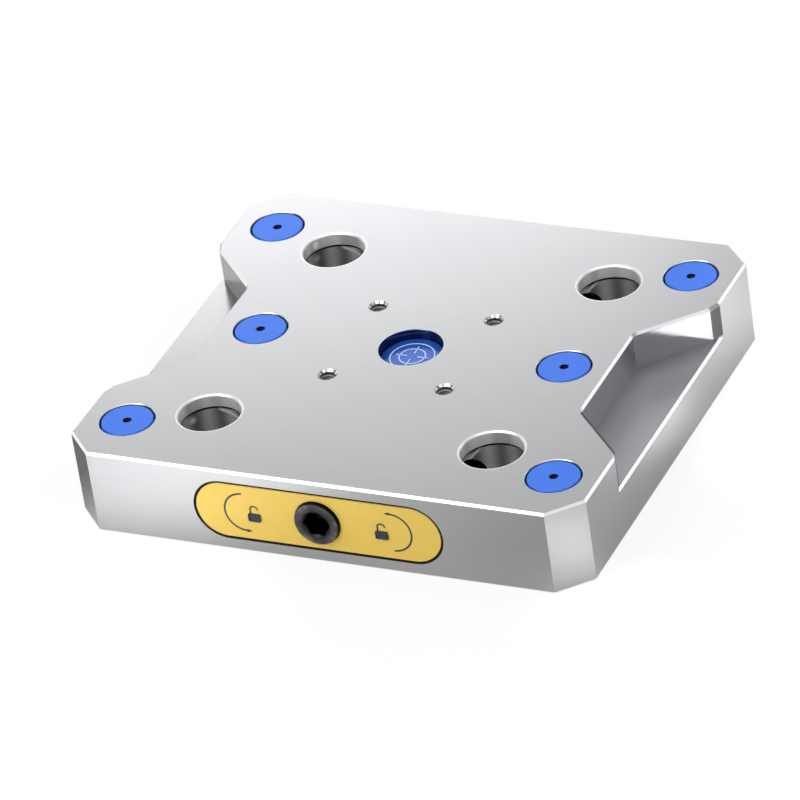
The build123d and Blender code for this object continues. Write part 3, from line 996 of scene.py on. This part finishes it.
class CLAMPPLATE_OT_tapped_holes(bpy.types.Operator):
    """Threads of the four tapped holes in the top face"""

    bl_idname = "clamp_plate.tapped_holes"
    bl_label = "Tapped holes"

    def execute(self, context):
        look, details = finishes(), context.scene.clamp_plate_details
        wall, crest, start_z, turns = 2.53 * MM, 2.1 * MM, 17.6 * MM, 10
        ridge = thread_ridge("tap_thread_front_left", wall, crest, details.tap_pitch, turns)
        moved(ridge, Matrix.Translation((-TAP_PITCH / 2, -TAP_PITCH / 2, start_z)))
        shaded = [part * 0.6 for part in look.relief]
        steel = turned_metal("cut_thread_steel", shaded, 0.6, centre_radius, metallic=0.6)
        for name, x, y in QUADRANTS[1:]:
            shift = ((x + 1) / 2 * TAP_PITCH, (y + 1) / 2 * TAP_PITCH, 0)
            twin = copied(ridge, f"tap_thread_{name}", Matrix.Translation(shift))
            dress(twin, steel, "plate")
        dress(ridge, steel, "plate")
        return {"FINISHED"}


class CLAMPPLATE_OT_pull_holes(bpy.types.Operator):
    """Threads of the pull holes in the six caps"""

    bl_idname = "clamp_plate.pull_holes"
    bl_label = "Pull holes"

    def execute(self, context):
        look, details = finishes(), context.scene.clamp_plate_details
        wall, crest, depth, turns = 1.26 * MM, 1.02 * MM, 3.6 * MM, 6
        first = thread_ridge("ridge", wall, crest, details.pull_pitch, turns)
        # Painted shade: the threads in the caps' pull holes take the black oxide's colour
        blue = turned_metal("cut_thread_blue", look.black, 0.4, cap_radius)
        for name in CAP_NAMES:
            low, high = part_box(f"cap_{name}")
            middle = (low + high) / 2
            place = Matrix.Translation((middle.x, middle.y, high.z - depth))
            twin = copied(first, f"pull_thread_{name}", place)
            dress(twin, blue, f"cap_{name}")
        bpy.data.objects.remove(first)
        return {"FINISHED"}


class CLAMPPLATE_OT_clamping_pins(bpy.types.Operator):
    """The four clamping pins"""

    bl_idname = "clamp_plate.clamping_pins"
    bl_label = "Clamping pins"

    def execute(self, context):
        look = finishes()
        pins = turned_metal("black_oxide_pin", look.black, 0.28, pin_radius, metallic=0.55)
        redress([f"clamping_pin_{name}" for name, _, _ in QUADRANTS], pins)
        return {"FINISHED"}


class CLAMPPLATE_OT_return_springs(bpy.types.Operator):
    """Round wire springs that draw the pins back"""

    bl_idname = "clamp_plate.return_springs"
    bl_label = "Return springs"

    def execute(self, context):
        look, details = finishes(), context.scene.clamp_plate_details
        wire, turns, wire_sides = details.spring_wire, details.spring_turns, 10
        steel = drawn_wire(look)
        for name, x, _ in QUADRANTS:
            node = f"return_spring_{name}"
            low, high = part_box(node)
            size, middle = high - low, (low + high) / 2
            coil_radius = (size.y - wire) / 2
            deselect()
            bpy.ops.mesh.primitive_circle_add(
                vertices=wire_sides,
                radius=wire / 2,
                location=(coil_radius, 0, 0),
                rotation=(math.pi / 2, 0, 0),
            )
            coil = named(f"wire_spring_{name}")
            settle()
            wound(coil, (size.x - wire) / turns, turns)
            lay = Matrix.Rotation(math.pi / 2, 4, "Y")
            moved(coil, Matrix.Translation((low.x + wire / 2, middle.y, middle.z)) @ lay)
            dress(coil, steel, "plate")
            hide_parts(node)
            travel = f"clamping_pin_{name}_travel"
            joint = next(found for found in frame["joints"] if found["name"] == travel)
            keep = 1 - joint["range_m"][1] / size.x
            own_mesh(coil)
        return {"FINISHED"}


class CLAMPPLATE_OT_wedge_slide(bpy.types.Operator):
    """Wedge slide and the dowels beside it"""

    bl_idname = "clamp_plate.wedge_slide"
    bl_label = "Wedge slide"

    def execute(self, context):
        hardened = milled_metal("hardened_slide", finishes().hardened, 0.2)
        redress(["wedge_slide", "stop_pins"], hardened)
        return {"FINISHED"}


class CLAMPPLATE_OT_bottom_cover(bpy.types.Operator):
    """Cover of the underside with its gasket and screws"""

    bl_idname = "clamp_plate.bottom_cover"
    bl_label = "Bottom cover"

    def execute(self, context):
        look = finishes()
        redress(["bottom_cover"], milled_metal("milled_cover", look.cover, 0.25))
        redress(["cover_gasket"], rubber(look))
        redress(["cover_screws"], black_oxide(look))
        return {"FINISHED"}


# Softboxes, under the names of their powers: size, place and the point that they face
SOFTBOXES = {
    "key": ((0.405, 0.226), (-0.438, 0.753, 0.412), (0, 0, 0.029)),
    "fill": ((0.6, 0.6), (-0.6, -0.8, 1.1), (0, 0, 0)),
    "rim": ((0.25, 0.2), (0.76, 0.82, 0.4), (0.08, 0, 0.029)),
    "left": ((0.3, 0.2), (-1.12, 0.147, 0.295), (-0.07, -0.06, 0.029)),
}
# Pools of light on the floor, which the sides of the plate reflect: share of the floor light,
# place and radius
POOLS = {
    "left": (1.1, (-0.068, -0.14), 0.07),
    "corner": (1.15, (0.106, -0.085), 0.022),
    "side": (0.33, (0.122, 0.052), 0.047),
    "pocket": (2.4, (0.12, 0.016), 0.02),
    "rear": (0.6, (0.118, 0.088), 0.04),
}
# Darker round cards on the floor: place, radius of the full tone, radius at which it is gone, and
# strength
CARDS = (
    ((-0.135, -0.04), 0.035, 0.07, 0.9),
    ((0.064, -0.115), 0.01, 0.045, 0.4),
)
# Camera: place in metres and turns in degrees
CAMERA_PLACE = (0.84175, -1.57456, 1.15711)
CAMERA_TURN = (56.96781, 7.47903, 23.48081)


def hung(name, held, place):
    """Puts a lamp or a camera into the scene."""
    holder = bpy.data.objects.new(name, held)
    bpy.context.scene.collection.objects.link(holder)
    holder.location = place
    return holder


class CLAMPPLATE_OT_stage(bpy.types.Operator):
    """White floor, soft light and the camera"""

    bl_idname = "clamp_plate.stage"
    bl_label = "Stage"

    def execute(self, context):
        stage = context.scene.clamp_plate_stage
        self.floor()
        self.room(stage)
        for name, (size, place, aim) in SOFTBOXES.items():
            self.softbox(f"{name}_softbox", getattr(stage, name), size, place, aim)
        for name, (part, place, radius) in POOLS.items():
            self.floor_lamp(f"floor_lamp_{name}", part * stage.pool, place, radius)
        self.camera(stage)
        context.scene.view_settings.view_transform = "Standard"
        return {"FINISHED"}

    def floor(self):
        """White floor that the camera sees as plain white, with two darker cards for the metal."""
        deselect()
        bpy.ops.mesh.primitive_plane_add(size=12, location=(0, 0, -0.2 * MM))
        floor = named("floor")
        finish = Finish("white_floor")
        seen = finish.rays("Camera")
        pale, dark, white = (0.5,) * 3, (0.14,) * 3, (0.95,) * 3
        seen_glow, reflected_glow = 0.85, 0.2
        card = 0.0
        for (x, y), full, gone, strength in CARDS:
            radius = radius_about(finish.x - x, finish.y - y)
            card = card + strength - finish.ramp(radius, full, gone) * strength
        tone = finish.mix(seen, finish.mix(card, pale, dark), white)
        lit = finish.node("ShaderNodeBsdfDiffuse", inputs={"Color": tone})
        glow = finish.node("ShaderNodeEmission", inputs={"Color": (1, 1, 1, 1), "Strength": 1.0})
        share_of_glow = seen * seen_glow + finish.rays("Glossy") * (1.0 - card) * reflected_glow
        share_of_glow = share_of_glow + finish.rays("Transmission")
        shown = finish.node("ShaderNodeMixShader", inputs={0: share_of_glow, 1: lit, 2: glow})
        finish.node("ShaderNodeOutputMaterial", inputs={"Surface": shown})
        floor.data.materials.append(finish.material)

    def room(self, stage):
        """White room, which metal reflects as white low down, grey above and bright overhead."""
        world = bpy.data.worlds.new("white_room")
        bpy.context.scene.world = world
        room = Nodes(world)
        up = room.parts(room.node("ShaderNodeTexCoord", output="Generated"))[2]
        wall_top, grey_start = 0.05, 0.4
        grey_end, zenith, zenith_light = 0.75, 0.82, 1.6
        seen, mirrored = room.rays("Camera"), room.rays("Glossy") + room.rays("Transmission")
        ceiling = 1.0 - room.ramp(up, wall_top, grey_start) * (1 - stage.ceiling)
        ceiling = ceiling + room.ramp(up, grey_end, zenith) * zenith_light
        shown = mirrored * ceiling + (1.0 - mirrored) * stage.daylight
        strength = seen + (1.0 - seen) * shown
        white = room.node("ShaderNodeBackground", inputs={0: (1, 1, 1, 1), 1: strength})
        room.node("ShaderNodeOutputWorld", inputs={"Surface": white})

    def softbox(self, name, energy, size, place, aim):
        """Rectangular lamp that faces a point."""
        lamp = bpy.data.lights.new(name, "AREA")
        lamp.shape = "RECTANGLE"
        lamp.size, lamp.size_y = size
        lamp.energy = energy
        away = Vector(place) - Vector(aim)
        hung(name, lamp, place).rotation_euler = away.to_track_quat("Z", "Y").to_euler()

    def floor_lamp(self, name, energy, place, radius):
        """Spot lamp straight above a round pool of light on the floor beside the plate."""
        height = 0.5
        lamp = bpy.data.lights.new(name, "SPOT")
        lamp.energy = energy
        lamp.spot_size = 2 * math.atan(radius / height)
        lamp.spot_blend = 0.8
        lamp.shadow_soft_size = 0.02
        hung(name, lamp, (*place, height))

    def camera(self, stage):
        """Long lens from the front right."""
        view = bpy.data.cameras.new("camera")
        view.lens = stage.lens
        view.sensor_width = 36
        view.clip_start, view.clip_end = 0.1, 20
        holder = hung("camera", view, CAMERA_PLACE)
        holder.rotation_euler = [math.radians(turn) for turn in CAMERA_TURN]
        bpy.context.scene.camera = holder


PROPERTY_GROUPS = {
    "clamp_plate_finishes": ClampPlateFinishes,
    "clamp_plate_signs": ClampPlateSigns,
    "clamp_plate_details": ClampPlateDetails,
    "clamp_plate_stage": ClampPlateStage,
}
OPERATORS = [
    CLAMPPLATE_OT_plate_body,
    CLAMPPLATE_OT_screw_caps,
    CLAMPPLATE_OT_centre_plug,
    CLAMPPLATE_OT_sign_plate,
    CLAMPPLATE_OT_opening_arrows,
    CLAMPPLATE_OT_lock_signs,
    CLAMPPLATE_OT_spindle,
    CLAMPPLATE_OT_spindle_bearing,
    CLAMPPLATE_OT_tapped_holes,
    CLAMPPLATE_OT_pull_holes,
    CLAMPPLATE_OT_clamping_pins,
    CLAMPPLATE_OT_return_springs,
    CLAMPPLATE_OT_wedge_slide,
    CLAMPPLATE_OT_bottom_cover,
    CLAMPPLATE_OT_stage,
]


class CLAMPPLATE_PT_panel(bpy.types.Panel):
    """Lists the pieces and their settings"""

    bl_idname = "CLAMPPLATE_PT_panel"
    bl_label = "Clamping Plate"
    bl_space_type = "VIEW_3D"
    bl_region_type = "UI"
    bl_category = "Clamping Plate"

    def draw(self, context):
        for group, kind in PROPERTY_GROUPS.items():
            box = self.layout.box()
            for setting in kind.__annotations__:
                box.prop(getattr(context.scene, group), setting)
        for operator in OPERATORS:
            self.layout.operator(operator.bl_idname)


def register():
    """Registers the settings, operators and panel."""
    for group, kind in PROPERTY_GROUPS.items():
        bpy.utils.register_class(kind)
        setattr(bpy.types.Scene, group, bpy.props.PointerProperty(type=kind))
    for kind in (*OPERATORS, CLAMPPLATE_PT_panel):
        bpy.utils.register_class(kind)


def unregister():
    """Removes what register added."""
    for kind in (CLAMPPLATE_PT_panel, *reversed(OPERATORS)):
        bpy.utils.unregister_class(kind)
    for group, kind in PROPERTY_GROUPS.items():
        delattr(bpy.types.Scene, group)
        bpy.utils.unregister_class(kind)


def main():
    """Dresses the plate piece by piece."""
    register()
    for operator in OPERATORS:
        family, name = operator.bl_idname.split(".")
        getattr(getattr(bpy.ops, family), name)()


if __name__ == "__main__":
    main()
